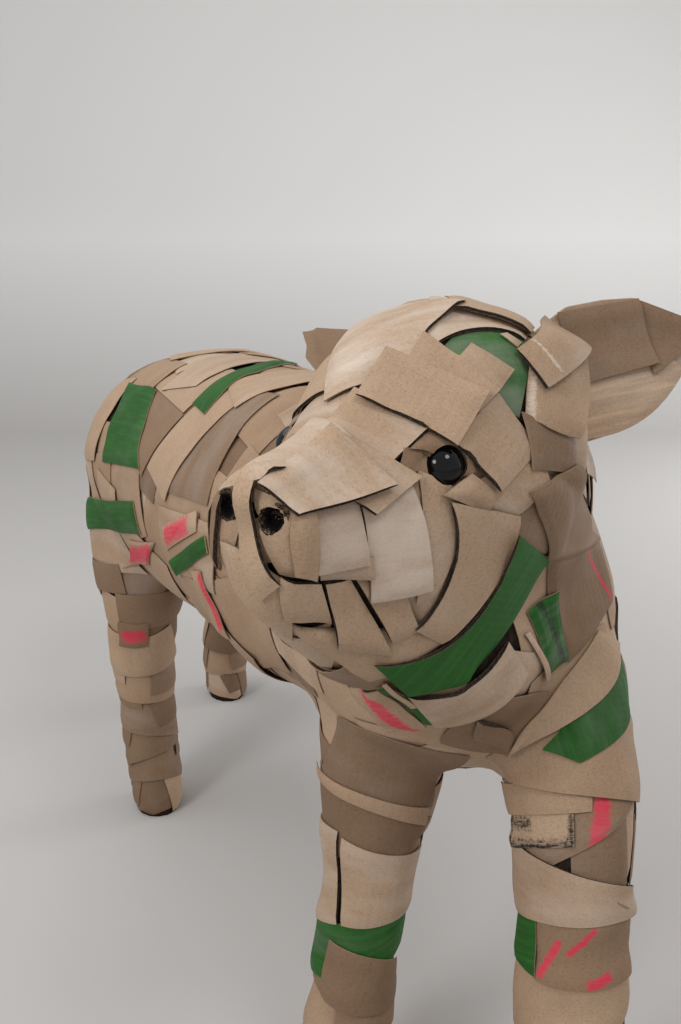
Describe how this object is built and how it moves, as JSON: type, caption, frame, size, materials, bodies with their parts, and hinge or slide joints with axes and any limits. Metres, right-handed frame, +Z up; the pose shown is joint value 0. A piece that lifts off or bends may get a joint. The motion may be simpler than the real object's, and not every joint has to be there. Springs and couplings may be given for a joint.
{
  "type": "animal sculpture",
  "caption": "Life-size standing piglet of glued overlapping cardboard strips, head turned to its right, with black bead eyes, folded ears, a curled tail and four flat feet.",
  "frame": {"origin": "on the floor under the middle of the piglet's length and width", "axes": "+Z up, the piglet faces -Y, its left side is +X"},
  "size_m": [0.2142, 0.5843, 0.3813],
  "materials": {
    "kraft_cardboard": "matt light brown board with fine fibres, dark corrugated cut edges and some glue sheen",
    "dark_cardboard": "matt darker brown board",
    "green_cardboard": "green printed board with a soft gloss and brush marks",
    "black_bead": "glossy black bead"
  },
  "bodies": {
    "root": {"back_green_stripe": "green_cardboard", "back_sheet": "kraft_cardboard", "behind_brow_panel": "kraft_cardboard", "bridge_piece": "kraft_cardboard", "brow_panel_left": "kraft_cardboard", "brow_panel_right": "kraft_cardboard", "brow_strip_left": "kraft_cardboard", "brushed_green_strip": "green_cardboard", "cheek_sheet": "kraft_cardboard", "cheek_strip_left": "kraft_cardboard", "cheek_strip_right": "kraft_cardboard", "chest_band": "kraft_cardboard", "chest_sheet_dark": "dark_cardboard", "chin_front": "kraft_cardboard", "crown_green_patch": "green_cardboard", "crown_strip": "kraft_cardboard", "ear_left": "kraft_cardboard", "ear_left_base_panel": "kraft_cardboard", "ear_left_fold": "kraft_cardboard", "ear_left_lower_panel": "kraft_cardboard", "ear_left_tip_panel": "kraft_cardboard", "ear_left_upper_panel": "kraft_cardboard", "ear_right": "kraft_cardboard", "ear_right_fold": "kraft_cardboard", "ear_right_upper_panel": "kraft_cardboard", "eye_left": "black_bead", "eye_right": "black_bead", "flank_sheet_left": "kraft_cardboard", "flank_sheet_right": "kraft_cardboard", "forehead_sheet": "kraft_cardboard", "foreleg_left_band_1": "kraft_cardboard", "foreleg_left_band_2": "kraft_cardboard", "foreleg_left_band_3": "dark_cardboard", "foreleg_left_band_4": "dark_cardboard", "foreleg_left_patch": "kraft_cardboard", "foreleg_right_band_1": "kraft_cardboard", "foreleg_right_band_2": "kraft_cardboard", "foreleg_right_band_3": "kraft_cardboard", "foreleg_right_green": "green_cardboard", "green_cheek_band": "green_cardboard", "hindleg_right_band": "kraft_cardboard", "hip_sheet_left": "kraft_cardboard", "lip_piece_front": "kraft_cardboard", "lip_piece_rear": "kraft_cardboard", "neck_panel_dark": "dark_cardboard", "nostril_panel": "kraft_cardboard", "piglet_body": "kraft_cardboard", "rump_green_lower": "green_cardboard", "rump_green_upper": "green_cardboard", "septum_strip": "kraft_cardboard", "shoulder_green_patch": "green_cardboard", "small_crown_panel": "kraft_cardboard", "snout_side_patch_left": "kraft_cardboard", "snout_side_patch_right": "kraft_cardboard", "snout_top_left": "kraft_cardboard", "snout_top_panel": "kraft_cardboard", "snout_top_under": "kraft_cardboard", "strip_above_brow": "kraft_cardboard", "tail": "kraft_cardboard", "throat_strip": "kraft_cardboard"}
  },
  "joints": []
}
